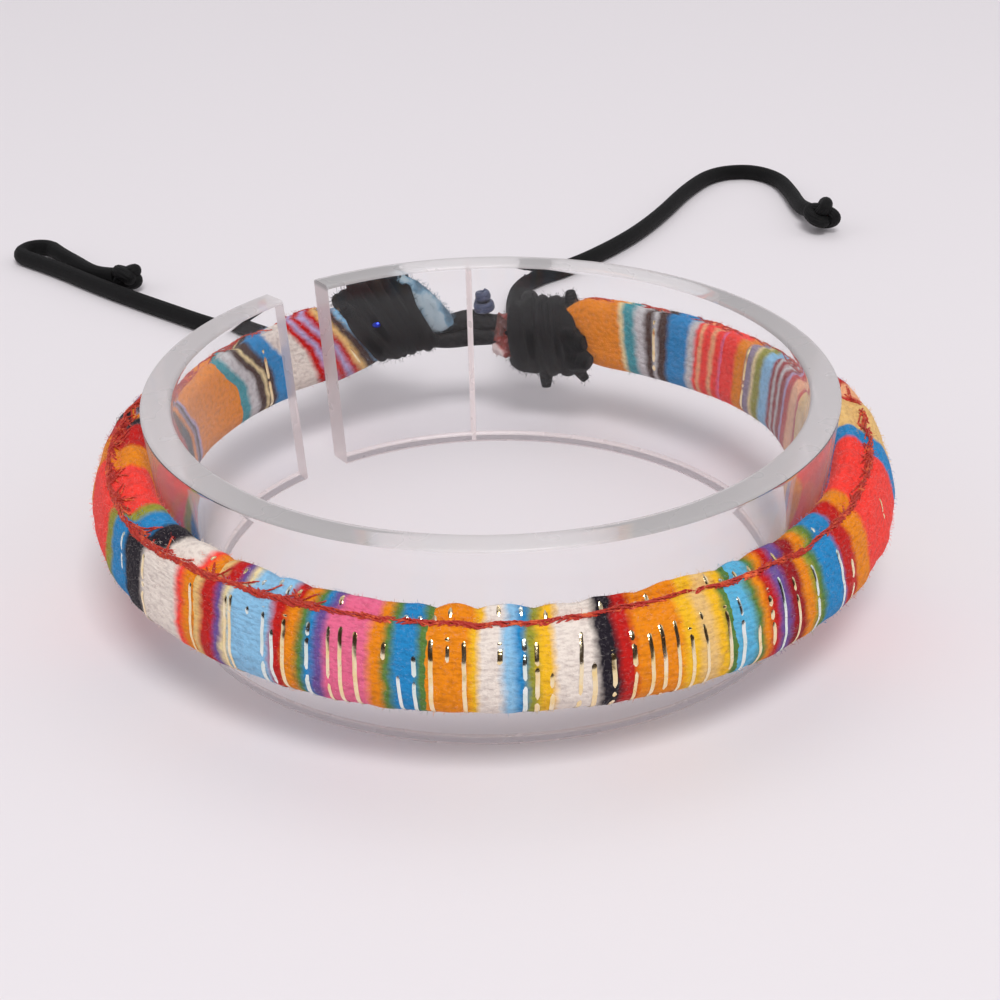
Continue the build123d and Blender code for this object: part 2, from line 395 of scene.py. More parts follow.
# Display ring: one clear acrylic wall, moulded wider at the top and open at a gap behind on the left.
# Its rims are rounded, its edges are satin and let less light through, and its mould left two thin parting
# lines, one behind as a fine ridge and one in front that hardly shows.
ring_height = 18.6 * mm
ring_foot_radius = 28.1 * mm
ring_top_radius = 30.0 * mm
ring_wall = 2.6 * mm
ring_edge_round = 0.35 * mm
ring_gap_centre = 130.2
ring_gap_width = 5.4 * mm
ring_steps = 240
# Rows: the angle of a parting line and how far it stands off the wall
parting_lines = [(94.0, 0.05 * mm), (-98.0, 0.01 * mm)]
parting_width = 0.5
satin_slope = 0.25
edge_hold = 0.6 * mm

acrylic, tree, surface = new_material("clear acrylic")
place = place_on_piece(tree)
wavy = raised(tree, 0.25, 0.05 * mm, mottle(tree, place, 160.0, 1.0))
dull = spanned(tree, mottle(tree, place, 420.0, 5.0), 0.55, 0.8, 0.015, 0.09)
bent = node(tree, "BsdfRefraction", {"Roughness": dull, "IOR": 1.49, "Normal": wavy})
mirrored = node(tree, "BsdfAnisotropic", {"Roughness": dull, "Normal": wavy})
sheer = node(tree, "Fresnel", {"IOR": 1.49, "Normal": wavy}).outputs[0]
sheer = sums(tree, "MULTIPLY", sheer, sums(tree, "ADD", sums(tree, "MULTIPLY", sheer, 0.6), 0.4))
glass = node(tree, "MixShader", {0: sheer, 1: bent.outputs[0], 2: mirrored.outputs[0]})


def lamp_light_through(tree, solid, tint, surface):
    """Clear plastic that lets the light of the lamps and of the room through to what it stands on."""
    open_way = node(tree, "BsdfTransparent", {"Color": tint}).outputs[0]
    rays = node(tree, "LightPath", {}).outputs
    for_lamps = node(tree, "MixShader", {0: rays["Is Shadow Ray"], 1: solid, 2: open_way})
    for_room = node(tree, "MixShader", {0: rays["Is Diffuse Ray"], 1: for_lamps.outputs[0], 2: open_way})
    tree.links.new(for_room.outputs[0], surface.inputs[0])


film = node(tree, "BsdfDiffuse", {"Color": (0.86, 0.85, 0.86, 1)})
edge_on = node(tree, "LayerWeight", {"Blend": 0.35}).outputs["Facing"]
milkiness = spanned(tree, edge_on, 0.3, 0.8, 0.006, 0.28)
walled = node(tree, "MixShader", {0: milkiness, 1: glass.outputs[0], 2: film.outputs[0]})
lamp_light_through(tree, walled.outputs[0], (0.94, 0.93, 0.94, 1), surface)

satin_acrylic, tree, surface = new_material("satin acrylic edges")
place = place_on_piece(tree)
rubbed = mottle(tree, place, 220.0, 2.0)
height = node(tree, "SeparateXYZ", {0: place}).outputs[2]
on_rim = spanned(tree, height, ring_height - 0.7 * mm, ring_height - 0.3 * mm)
# The satin faces are pinkish grey away from the top rim and greyer on it: a painted reflection of the band's
# red and pink cloth, not a colour of the clear acrylic.
satin = node(tree, "BsdfPrincipled", {
    "Base Color": blended(tree, on_rim, (0.80, 0.72, 0.72, 1), (0.76, 0.73, 0.73, 1)),
    "Roughness": spanned(tree, rubbed, 0.3, 0.7, 0.2, 0.4),
    "IOR": 1.49,
    "Transmission Weight": 0.2,
    "Normal": raised(tree, 0.15, 0.05 * mm, rubbed),
})
faint = node(tree, "BsdfTransparent", {"Color": (0.95, 0.95, 0.95, 1)})
thinness = sums(tree, "MULTIPLY", on_rim, 0.35)
thin = node(tree, "MixShader", {0: thinness, 1: satin.outputs[0], 2: faint.outputs[0]})
lamp_light_through(tree, thin.outputs[0], (0.92, 0.91, 0.92, 1), surface)


def everything(bm):
    """All parts of a bmesh, for the operators that take them together."""
    return bm.faces[:] + bm.edges[:] + bm.verts[:]


def wall_radius(z):
    """Radius of the ring's outer face at height z."""
    return ring_foot_radius + (ring_top_radius - ring_foot_radius) * z / ring_height


bm = bmesh.new()
corners = [
    (ring_foot_radius - ring_wall, 0, 0),
    (ring_foot_radius, 0, 0),
    (ring_top_radius, 0, ring_height),
    (ring_top_radius - ring_wall, 0, ring_height),
]
bm.faces.new([bm.verts.new(corner) for corner in corners])
bmesh.ops.bevel(
    bm, geom=bm.verts[:], offset=ring_edge_round, segments=5, profile=0.5, affect="VERTICES", material=-1
)
half_gap = math.degrees(ring_gap_width / ring_foot_radius) / 2
start = Matrix.Rotation(math.radians(ring_gap_centre + half_gap), 3, "Z")
bmesh.ops.rotate(bm, verts=bm.verts[:], cent=(0, 0, 0), matrix=start)
ring_turn = math.radians(360 - 2 * half_gap)
bmesh.ops.spin(
    bm, geom=everything(bm), cent=(0, 0, 0), axis=(0, 0, 1), angle=ring_turn, steps=ring_steps
)
for height in (edge_hold, ring_height - edge_hold):
    bmesh.ops.bisect_plane(
        bm, geom=everything(bm), dist=1e-7, plane_co=(0, 0, height), plane_no=(0, 0, 1)
    )
for line, ridge in parting_lines:
    for offset in (-parting_width, 0, parting_width):
        across = math.radians(line + offset)
        cut = (-math.sin(across), math.cos(across), 0)
        bmesh.ops.bisect_plane(bm, geom=everything(bm), dist=1e-7, plane_co=(0, 0, 0), plane_no=cut)
    for vertex in bm.verts:
        angle = math.degrees(math.atan2(vertex.co.y, vertex.co.x))
        if abs(angle - line) < parting_width / 4:
            radial = Vector((vertex.co.x, vertex.co.y, 0)).normalized()
            inner = math.hypot(vertex.co.x, vertex.co.y) < wall_radius(vertex.co.z) - ring_wall / 2
            vertex.co += radial * (-ridge if inner else ridge)
mesh = solid_mesh(bm, "display_ring_wall")
mesh.set_sharp_from_angle(angle=math.radians(40))
ring = add_object("display_ring_wall", mesh, acrylic)
mesh.materials.append(satin_acrylic)
for face in mesh.polygons:
    angle = math.degrees(math.atan2(face.center.y, face.center.x))
    round_ring = Vector((-face.center.y, face.center.x, 0)).normalized()
    at_gap_end = abs(face.normal.dot(round_ring)) > 0.7
    on_ridge = any(abs(angle - line) < parting_width and ridge > 0.02 * mm for line, ridge in parting_lines)
    face.material_index = int(abs(face.normal.z) > satin_slope or at_gap_end or on_ridge)
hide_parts("display_ring")

# Band: a strip of striped cotton cloth, folded round a soft core and whipped shut along the top.
# The stripes run across the band, and its fold stands up as a puckered lip beside the wall of the ring.
# Rows of the sections: way from the right binding to the left one, fullness of the thickness and of the
# height, lift as a share of the height, lean as a share of that of the nearer binding, and how far out the
# seam lies as a share of the thickness.
band_height = 8.4 * mm
band_thickness = 5.2 * mm
band_middle = 10.4 * mm
band_clearance = 0.2 * mm
band_start = 69.4
band_turn = 314.2
right_lean = 16.0
left_lean = 34.0
band_steps = 640
band_length = math.radians(band_turn) * (wall_radius(band_middle) + band_thickness / 2)
band_sections = [
    (-0.030, 0.55, 0.50, -0.020, 1.00, 0.42),
    (-0.014, 0.74, 0.66, -0.010, 1.00, 0.42),
    (0.00, 0.90, 0.86, 0.020, 1.00, 0.42),
    (0.03, 0.92, 0.90, 0.030, 0.50, 0.42),
    (0.07, 0.94, 0.91, 0.040, 0.10, 0.42),
    (0.11, 0.98, 0.90, 0.060, 0.00, 0.42),
    (0.15, 1.02, 0.92, 0.075, 0.00, 0.42),
    (0.18, 1.08, 0.95, 0.045, 0.00, 0.42),
    (0.21, 1.12, 1.00, -0.006, 0.00, 0.42),
    (0.29, 1.08, 1.01, -0.054, 0.00, 0.42),
    (0.34, 1.04, 1.02, -0.062, 0.00, 0.44),
    (0.39, 1.02, 1.02, -0.062, 0.00, 0.38),
    (0.43, 1.00, 1.01, -0.058, 0.00, 0.25),
    (0.46, 1.00, 1.00, -0.052, 0.00, 0.25),
    (0.49, 1.00, 1.00, -0.044, 0.00, 0.38),
    (0.52, 1.00, 1.00, -0.036, 0.00, 0.40),
    (0.59, 1.00, 1.04, -0.018, 0.00, 0.47),
    (0.64, 1.00, 1.05, -0.010, 0.00, 0.56),
    (0.68, 1.02, 1.04, -0.002, 0.00, 0.62),
    (0.74, 1.05, 1.02, 0.008, 0.00, 0.52),
    (0.80, 1.04, 0.98, 0.024, 0.00, 0.44),
    (0.84, 1.01, 0.94, 0.032, 0.00, 0.42),
    (0.89, 0.98, 0.95, 0.040, 0.05, 0.42),
    (0.93, 0.96, 0.95, 0.052, 0.15, 0.42),
    (0.97, 0.92, 0.95, 0.052, 0.60, 0.42),
    (1.00, 0.82, 0.80, 0.100, 1.00, 0.42),
    (1.014, 0.66, 0.60, 0.140, 1.00, 0.42),
    (1.030, 0.45, 0.42, 0.180, 1.00, 0.42),
]
# Corners that the rounded outline of a section runs between, in shares of its thickness and height
cloth_corners = [
    (0.02, 0.10),
    (0.00, 0.45),
    (-0.01, 0.86),
    (0.10, 0.985),
    (0.28, 0.98),
    (0.42, 0.90),
    (0.57, 0.97),
    (0.80, 0.79),
    (0.975, 0.50),
    (1.035, 0.29),
    (0.90, 0.10),
    (0.48, 0.005),
]
seam_at = 0.42
stitch_spacing = 4.6 * mm
stitch_wander = 0.35
lip_rise = 0.20 * mm
lip_dip = 0.24 * mm
lip_crumple = 0.20 * mm
shoulder_dip = 0.22 * mm
cloth_unevenness = 0.16 * mm

dyes = {
    "red": (192, 24, 20),
    "dark red": (150, 18, 26),
    "coral": (248, 62, 52),
    "orange": (234, 136, 12),
    "pale orange": (240, 176, 130),
    "yellow": (242, 186, 34),
    "olive": (150, 150, 50),
    "green": (88, 126, 58),
    "teal": (62, 150, 160),
    "blue": (34, 134, 194),
    "light blue": (140, 192, 226),
    "sky": (92, 178, 216),
    "white": (234, 222, 211),
    "grey white": (200, 198, 198),
    "cream": (232, 212, 160),
    "ivory": (222, 210, 200),
    "tan": (232, 190, 120),
    "black": (32, 26, 36),
    "brown": (70, 46, 38),
    "purple": (108, 80, 148),
    "grey purple": (150, 136, 156),
    "lavender": (178, 164, 204),
    "pink": (232, 106, 142),
}
# Stripes from the right binding round the front to the left one: the angle round the ring at which each
# ends, in degrees, and its dye. The angles go down from that of the right binding.
stripes = [
    (62.3, "orange"), (61.7, "cream"), (59.2, "teal"), (57.0, "grey white"), (55.1, "brown"),
    (54.3, "grey white"), (51.9, "brown"), (47.1, "blue"), (45.2, "grey white"), (44.2, "coral"),
    (43.6, "pale orange"), (41.2, "coral"), (40.6, "pale orange"), (38.4, "coral"), (37.8, "pink"),
    (34.1, "coral"), (31.0, "orange"), (28.6, "grey purple"), (27.8, "cream"), (25.4, "olive"),
    (22.0, "light blue"), (20.6, "dark red"), (20.0, "grey white"), (18.4, "dark red"),
    (17.8, "grey white"), (15.6, "dark red"), (15.0, "lavender"), (12.4, "red"), (8.0, "pale orange"),
    (6.5, "red"), (-6.2, "tan"), (-11.3, "blue"), (-28.6, "coral"), (-33.1, "orange"), (-36.8, "red"),
    (-41.6, "blue"), (-42.6, "green"), (-43.7, "olive"), (-45.8, "orange"), (-48.6, "dark red"),
    (-50.8, "purple"), (-52.6, "red"), (-53.7, "orange"), (-54.9, "green"), (-58.1, "sky"),
    (-59.2, "green"), (-61.0, "yellow"), (-63.4, "tan"), (-65.8, "yellow"), (-72.2, "orange"),
    (-74.6, "red"), (-77.4, "black"), (-82.7, "white"), (-84.8, "yellow"), (-86.3, "olive"),
    (-87.5, "blue"), (-89.2, "light blue"), (-92.3, "white"), (-93.2, "yellow"), (-98.7, "orange"),
    (-99.8, "green"), (-103.1, "blue"), (-104.1, "green"), (-106.0, "orange"), (-111.8, "pink"),
    (-113.4, "purple"), (-114.4, "blue"), (-115.6, "green"), (-117.5, "orange"), (-119.5, "red"),
    (-126.4, "light blue"), (-127.4, "cream"), (-128.6, "purple"), (-131.1, "red"), (-132.4, "tan"),
    (-134.6, "orange"), (-136.0, "coral"), (-143.7, "white"), (-148.8, "black"), (-153.8, "blue"),
    (-156.4, "olive"), (-171.6, "coral"), (-179.0, "orange"), (-185.4, "red"), (-189.4, "black"),
    (-191.0, "orange"), (-192.2, "grey purple"), (-193.0, "brown"), (-194.0, "lavender"),
    (-211.5, "orange"), (-214.1, "teal"), (-216.9, "grey white"), (-219.2, "brown"), (-219.7, "cream"),
    (-221.9, "brown"), (-226.4, "blue"), (-233.1, "ivory"), (-234.9, "red"), (-236.2, "lavender"),
    (-237.9, "red"), (-239.3, "lavender"), (-240.7, "red"), (-242.3, "tan"), (-244.6, "brown"),
    (-245.8, "light blue"), (-252.0, "brown"),
]
stripe_blend = 0.60
cotton_fibre = (250, 240, 236)
stripes_a_ramp = 15
stripes_run_in = 30
# Rows: the angle round the ring, and by how many degrees the lip's stripes lead those of the face there
lip_leads = [
    (69.0, 0.0), (12.0, 0.3), (-4.0, 4.5), (-30.0, 4.0), (-57.0, 2.6), (-72.0, 0.8), (-105.0, 0.6),
    (-120.0, 1.6), (-140.0, 2.8), (-165.0, 4.5), (-218.0, 4.6), (-232.0, 3.2), (-245.0, 0.8),
]
most_lead = 5.0

cloth_stripes, stripes_in, stripes_out = new_group(
    "dyed stripes",
    [("Angle", "Float", 0.0), ("Wander", "Float", 0.35)],
    [("Colour", "Color")],
)
tree = cloth_stripes
place = place_on_piece(tree)
wander = sums(tree, "MULTIPLY", mottle(tree, place, 1400.0, 2.0), 1.2)
wander = sums(tree, "ADD", wander, mottle(tree, place, 260.0, 1.0))
wander = sums(tree, "MULTIPLY", sums(tree, "SUBTRACT", wander, 1.1), stripes_in["Wander"])
turned = sums(tree, "SUBTRACT", stripes_in["Angle"], wander)
colour = None
begin = band_start + stripes_run_in
for first in range(0, len(stripes), stripes_a_ramp):
    rows = stripes[first:first + stripes_a_ramp]
    finish = rows[-1][0]
    ramp = node(tree, "ValToRGB", {0: spanned(tree, turned, begin, finish)})
    stops = ramp.color_ramp.elements
    previous = begin
    for i, (end, name) in enumerate(rows):
        blend = min(stripe_blend, (previous - end) * 0.42)
        for angle in (previous - blend, end + blend):
            position = (begin - angle) / (begin - finish)
            number = 2 * i + (angle < previous - blend)
            stop = stops[number] if number < 2 else stops.new(position)
            stop.position = position
            stop.color = dye(dyes[name])
        previous = end
    if colour is None:
        colour = ramp.outputs[0]
    else:
        past = sums(tree, "LESS_THAN", turned, begin)
        colour = blended(tree, past, colour, ramp.outputs[0])
    begin = finish
tree.links.new(colour, stripes_out["Colour"])

led_stripes, led_in, led_out = new_group(
    "stripes with the lip's lead",
    [("Angle", "Float", 0.0), ("On lip", "Float", 0.0)],
    [("Colour", "Color")],
)
first, last = lip_leads[0][0], lip_leads[-1][0]
ramp = node(led_stripes, "ValToRGB", {0: spanned(led_stripes, led_in["Angle"], first, last)})
stops = ramp.color_ramp.elements
for i, (angle, lead) in enumerate(lip_leads):
    position = (first - angle) / (first - last)
    stop = stops[i] if i < 2 else stops.new(position)
    stop.position = position
    stop.color = (lead / most_lead,) * 3 + (1.0,)
lead = sums(led_stripes, "MULTIPLY", ramp.outputs[0], most_lead)
lead = sums(led_stripes, "MULTIPLY", lead, led_in["On lip"])
led_angle = sums(led_stripes, "SUBTRACT", led_in["Angle"], lead)
led = placed(led_stripes, cloth_stripes, {"Angle": led_angle, "Wander": 0.9})
led_stripes.links.new(led[0], led_out["Colour"])

weave, weave_in, weave_out = new_group(
    "ribbed weave",
    [("Length", "Float", 0.0), ("Girth", "Float", 0.0), ("Rib", "Float", 0.46), ("Thread", "Float", 0.24)],
    [("Height", "Float")],
)
place = place_on_piece(weave)
uneven = sums(weave, "SUBTRACT", mottle(weave, place, 700.0, 2.0), 0.5)
uneven = sums(weave, "MULTIPLY", uneven, 4.0)
waves = []
for way, spacing in (("Girth", "Rib"), ("Length", "Thread")):
    turns = sums(weave, "DIVIDE", weave_in[way], weave_in[spacing])
    turns = sums(weave, "ADD", sums(weave, "MULTIPLY", turns, 2 * math.pi), uneven)
    waves.append(sums(weave, "SINE", turns))
patchy = spanned(weave, mottle(weave, place, 380.0, 1.0), 0.35, 0.6)
ribs = sums(weave, "MULTIPLY", waves[0], patchy)
weave.links.new(sums(weave, "ADD", ribs, sums(weave, "MULTIPLY", waves[1], 0.25)), weave_out["Height"])

striped_cloth, tree, surface = new_material("striped cloth")
uv = node(tree, "SeparateXYZ", {0: node(tree, "TexCoord", {}).outputs["UV"]}).outputs
angle = sums(tree, "MULTIPLY", uv[0], -band_turn / (band_length / mm))
angle = sums(tree, "ADD", angle, band_start)
on_lip = spanned(tree, uv[1], 4.6, 6.6, eased=True)
off_wall = spanned(tree, uv[1], 10.7, 7.8, eased=True)
lip_share = sums(tree, "MULTIPLY", on_lip, off_wall)
dyed = placed(tree, led_stripes, {"Angle": angle, "On lip": lip_share})[0]
woven = placed(tree, weave, {"Length": uv[0], "Girth": uv[1]})[0]
flat_place = node(tree, "CombineXYZ", {0: uv[0], 1: uv[1]}).outputs[0]
felted = node(tree, "VectorMath", {0: flat_place, 1: (1.7, 2.8, 0)}, operation="MULTIPLY").outputs[0]
felted = mottle(tree, felted, 1.0, 3.0)
# Darker where the felted relief is low: painted shade in the hollows of the weave.
hollow_shade = spanned(tree, felted, 0.54, 0.34, last=0.45)
shaded = node(
    tree, "Mix", {0: hollow_shade, 6: dyed, 7: (0.55, 0.50, 0.52, 1)}, data_type="RGBA", blend_type="MULTIPLY"
).outputs[2]
fuzzy = with_fibres(tree, shaded, cotton_fibre, 0.07, 3200.0)
relief = sums(tree, "ADD", sums(tree, "MULTIPLY", woven, 0.5), sums(tree, "MULTIPLY", felted, 9.0))
relief = sums(tree, "ADD", relief, sums(tree, "MULTIPLY", fuzzy["Height"], 4.0))
finished(tree, surface, {
    "Base Color": fuzzy["Colour"],
    "Roughness": 0.85,
    "Specular IOR Level": 0.2,
    "Normal": raised(tree, 0.5, 0.06 * mm, relief),
    "Sheen Weight": 0.05,
    "Sheen Roughness": 0.4,
})


def on_curve(rows, way, column):
    """Value of a column at a way along a table, on a smooth curve through its rows."""
    k = max([i for i in range(len(rows) - 1) if rows[i][0] <= way], default=0)
    low, high = rows[k], rows[k + 1]
    span = high[0] - low[0]
    share = min(max((way - low[0]) / span, 0.0), 1.0)
    before, after = rows[max(k - 1, 0)], rows[min(k + 2, len(rows) - 1)]
    slope_low = (high[column] - before[column]) / (high[0] - before[0]) * span
    slope_high = (after[column] - low[column]) / (after[0] - low[0]) * span
    s2, s3 = share**2, share**3
    parts = [
        (2 * s3 - 3 * s2 + 1) * low[column],
        (s3 - 2 * s2 + share) * slope_low,
        (3 * s2 - 2 * s3) * high[column],
        (s3 - s2) * slope_high,
    ]
    return sum(parts)


def leaning_point(angle, distance, z, lean):
    """Point a distance out from the ring's wall at height z, in a section that leans by some degrees."""
    a = math.radians(angle)
    radius = wall_radius(z) + band_clearance + distance
    shift = (z - band_middle) * math.tan(math.radians(lean))
    return Vector((radius * math.cos(a) - shift * math.sin(a), radius * math.sin(a) + shift * math.cos(a), z))


def cloth_point(way, across, up):
    """Point of the band at a way along it, at shares of its thickness and height."""
    wide, tall, lift, leaning, seam = [on_curve(band_sections, way, column) for column in (1, 2, 3, 4, 5)]
    rolled = min(across / seam_at, (1.03 - across) / (1.03 - seam_at)) * min(max((up - 0.5) / 0.3, 0.0), 1.0)
    across += (seam - seam_at) * max(rolled, 0.0)
    lean = leaning * (right_lean if way < 0.5 else left_lean)
    z = band_middle + lift * band_height + (up - 0.5) * band_height * tall
    under_cord = leaning * max(1 - wide, 0.0) * 0.8 * band_thickness
    return leaning_point(band_start - band_turn * way, across * band_thickness * wide + under_cord, z, lean)


luck = random.Random(11)
stitch_count = round(band_length / stitch_spacing)
stitch_ways = []
for i in range(stitch_count):
    stitch_ways.append((i + 0.5 + luck.uniform(-stitch_wander, stitch_wander)) / stitch_count)
hills = [luck.uniform(0.55, 1.25) for way in range(stitch_count + 1)]


def pucker(way):
    """How far the cloth is free between two stitches, from 0 at a stitch to its hill's height."""
    after = sum(1 for stitch in stitch_ways if stitch < way)
    low = stitch_ways[after - 1] if after else -1 / stitch_count
    high = stitch_ways[after] if after < stitch_count else 1 + 1 / stitch_count
    return math.sin(math.pi * (way - low) / (high - low)) ** 0.8 * hills[after] if low < way < high else 0.0


bm = bmesh.new()
base = 10.0
bm.faces.new([bm.verts.new((base + across, 0, up)) for across, up in cloth_corners])
bmesh.ops.bevel(
    bm, geom=bm.verts[:], offset=49.5, offset_type="PERCENT", segments=6, profile=0.5,
    affect="VERTICES", material=-1,
)
bmesh.ops.remove_doubles(bm, verts=bm.verts[:], dist=0.02)
# The outline is spun round four fifths of a turn first, and each point then finds its place on the band
first_way, last_way = band_sections[0][0], band_sections[-1][0]
spin_share = 0.8
start = Matrix.Rotation(math.radians(-360 * first_way * spin_share), 3, "Z")
bmesh.ops.rotate(bm, verts=bm.verts[:], cent=(0, 0, 0), matrix=start)
bmesh.ops.spin(
    bm, geom=everything(bm), cent=(0, 0, 0), axis=(0, 0, 1),
    angle=-2 * math.pi * spin_share * (last_way - first_way), steps=band_steps,
)
shares = {}
for vertex in bm.verts:
    turned = -math.degrees(math.atan2(vertex.co.y, vertex.co.x))
    way = ((turned / (360 * spin_share) + 0.1) % (1 / spin_share)) - 0.1
    shares[vertex] = (way, math.hypot(vertex.co.x, vertex.co.y) - base, vertex.co.z)
cloth_uv = bm.loops.layers.uv.new("UVMap")
girth_mm = 21.6
for face in bm.faces:
    if len(face.verts) > 4:
        continue
    angles = [math.atan2(shares[v][2] - 0.5, shares[v][1] - 0.5) for v in face.verts]
    for loop, angle in zip(face.loops, angles):
        if max(angles) - min(angles) > math.pi and angle < 0:
            angle += 2 * math.pi
        loop[cloth_uv].uv = (shares[loop.vert][0] * band_length / mm, angle / (2 * math.pi) * girth_mm)
for vertex, (way, across, up) in shares.items():
    point = cloth_point(way, across, up)
    free = pucker(way) if 0 < way < 1 else 0.5
    lip = max(0.0, 1 - abs(across - 0.16) / 0.28) * min(max((up - 0.62) / 0.3, 0.0), 1.0)
    shoulder = max(0.0, 1 - abs(across - 0.62) / 0.3) * min(max((up - 0.55) / 0.35, 0.0), 1.0)
    point.z += lip * (lip_rise * free - lip_dip * (1 - free)) - shoulder * shoulder_dip * (1 - free)
    point.z += lip * lip_crumple * noise.noise(Vector((way * 120, across * 5, 0)))
    outwards = Vector((point.x, point.y, 0)).normalized()
    grain = noise.noise(point / (3.2 * mm)) + 0.5 * noise.noise(point / (1.1 * mm))
    rising = min(max(across * 2, 0.0), 1.0)
    point += (outwards * (across - 0.35) * 2 + Vector((0, 0, up - 0.5))) * grain * cloth_unevenness * rising
    vertex.co = point
bmesh.ops.recalc_face_normals(bm, faces=bm.faces[:])
cloth_tree = BVHTree.FromBMesh(bm)
band = add_object("band_cloth", solid_mesh(bm, "band_cloth"), striped_cloth)
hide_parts("band")


def on_top(angle, across):
    """Point of the top of the cloth at an angle round the ring and a share of its thickness."""
    way = (band_start - angle) / band_turn
    high = cloth_point(way, across, 1.4)
    found, normal = cloth_tree.ray_cast(high, Vector((0, 0, -1)))[:2]
    return (found, normal) if found else (cloth_point(way, across, 0.9), Vector((0, 0, 1)))


def on_cloth(angle, psi):
    """Point of the cloth at an angle round the ring and one round the section, 0 outwards and 90 up, and
    its normal."""
    way = (band_start - angle) / band_turn
    p = math.radians(psi)
    seen = cloth_point(way, 0.5 + 0.62 * math.cos(p), 0.5 + 0.62 * math.sin(p))
    return cloth_tree.ray_cast(seen, cloth_point(way, 0.5, 0.5) - seen)[:2]


# Metallic threads: flat strips of gold and silver foil, woven in across the band among the cotton.
# They run from just under the seam to the bottom of the band, and dive under the cloth here and there.
# Rows: the angle round the ring, the lowest and highest angle round the section, the slant in degrees
# of the ring from low to high, how many times it dives, and whether it is gold or silver.
foil_width = 0.34 * mm
foil_lift = 0.045 * mm
foil_end_sunk = 0.06 * mm
foil_wave = 0.025
foil_threads = [
    (-34.3, -60, 20, 0.0, 1, "gold"), (-37.2, -60, 51, 0.0, 1, "silver"),
    (-43.0, -60, 56, 0.2, 1, "silver"), (-47.2, -60, 54, 0.0, 1, "gold"),
    (-49.8, -60, 64, 0.3, 0, "silver"), (-52.0, -20, 56, 0.0, 4, "gold"), (-54.6, -60, 10, 0.0, 1, "gold"),
    (-57.0, -60, 62, 0.5, 2, "silver"), (-59.1, -60, 56, 0.2, 3, "gold"), (-62.6, -60, 58, 0.0, 1, "gold"),
    (-64.6, -60, 40, 0.0, 1, "gold"), (-66.6, -60, 56, 0.2, 0, "gold"), (-68.6, -62, 56, 0.2, 1, "gold"),
    (-70.3, -62, 46, 0.1, 0, "gold"), (-72.6, -62, 56, 0.2, 2, "gold"), (-75.4, -64, 30, 0.1, 3, "gold"),
    (-77.9, -64, 16, 0.0, 0, "gold"), (-79.6, -64, 64, 0.9, 1, "gold"), (-83.2, -64, 8, 0.0, 1, "gold"),
    (-85.0, -64, 54, 0.1, 2, "gold"), (-86.5, -64, 60, 0.1, 2, "silver"), (-89.5, 22, 56, 0.0, 1, "gold"),
    (-93.9, -64, 58, -0.1, 0, "gold"), (-96.0, 24, 62, 0.0, 1, "gold"), (-98.0, -64, 58, -0.2, 0, "gold"),
    (-100.0, -64, 30, -0.3, 1, "silver"), (-101.8, -64, 2, -0.5, 0, "silver"),
    (-104.0, 20, 46, 0.0, 0, "gold"), (-107.5, -64, 56, -0.6, 0, "gold"),
    (-109.5, -64, 60, -0.6, 1, "gold"), (-111.1, -64, 56, -0.6, 1, "gold"),
    (-114.0, -64, 56, -0.3, 2, "silver"), (-117.4, -60, 58, -0.4, 1, "gold"),
    (-119.0, -60, 30, -0.4, 1, "silver"), (-120.5, -60, 60, -0.5, 2, "silver"),
    (-123.2, 40, 52, 0.0, 0, "silver"), (-125.8, -60, 60, -0.4, 0, "gold"),
    (-126.6, -60, 56, -0.4, 0, "gold"), (-133.0, -60, 51, -0.4, 0, "gold"),
    (-143.4, -50, 50, -0.3, 2, "gold"), (-150.0, 0, 56, 0.0, 1, "silver"),
    (-187.0, -50, 60, 0.0, 4, "gold"), (29.8, -50, 60, 0.0, 2, "gold"), (57.5, -50, 60, 0.0, 2, "gold"),
    (134.6, -50, 60, 0.0, 2, "gold"), (42.0, 20, 60, 0.0, 1, "gold"), (20.0, 0, 60, 0.0, 2, "gold"),
    (-20.0, 10, 46, 0.0, 1, "gold"), (55.0, 130, 210, 0.0, 2, "gold"), (31.0, 130, 220, 0.0, 2, "gold"),
    (139.5, 130, 230, 0.0, 2, "gold"), (118.6, 185, 212, 0.0, 0, "gold"),
]


def foil_material(name, shade, tint):
    """Crinkled metal foil."""
    material, tree, surface = new_material(name)
    crinkles = mottle(tree, place_on_piece(tree), 900.0, 3.0)
    finished(tree, surface, {
        "Base Color": blended(tree, spanned(tree, crinkles, 0.35, 0.65), dye(shade), dye(tint)),
        "Metallic": 1.0,
        "Roughness": spanned(tree, crinkles, first=0.10, last=0.26),
        "Normal": raised(tree, 0.25, 0.04 * mm, crinkles),
    })
    return material


foils = {
    "gold": foil_material("gold foil", (250, 222, 160), (255, 240, 205)),
    "silver": foil_material("silver foil", (224, 240, 232), (246, 252, 248)),
}
luck = random.Random(5)
strips = {"gold": bmesh.new(), "silver": bmesh.new()}


def foil_strip(bm, angle, low, high, slant, width):
    """One visible piece of foil, laid on the cloth and tucked in at both ends."""
    rows = max(2, round((high - low) / 5))
    made = bmesh.ops.create_grid(bm, x_segments=2, y_segments=rows, size=0.5)
    for vertex in made["verts"]:
        share = vertex.co.y + 0.5
        beside = vertex.co.x * 2
        drift = slant * (share - 0.5) + foil_wave * math.sin((high - low) * share / 5 + angle)
        point, normal = on_cloth(angle + drift, low + (high - low) * share)
        a = math.radians(angle)
        along = Vector((-math.sin(a), math.cos(a), 0))
        sunk = foil_end_sunk if share in (0.0, 1.0) else 0.0
        vertex.co = point + along * beside * width / 2 + normal * (foil_lift * (1.6 - abs(beside)) - sunk)


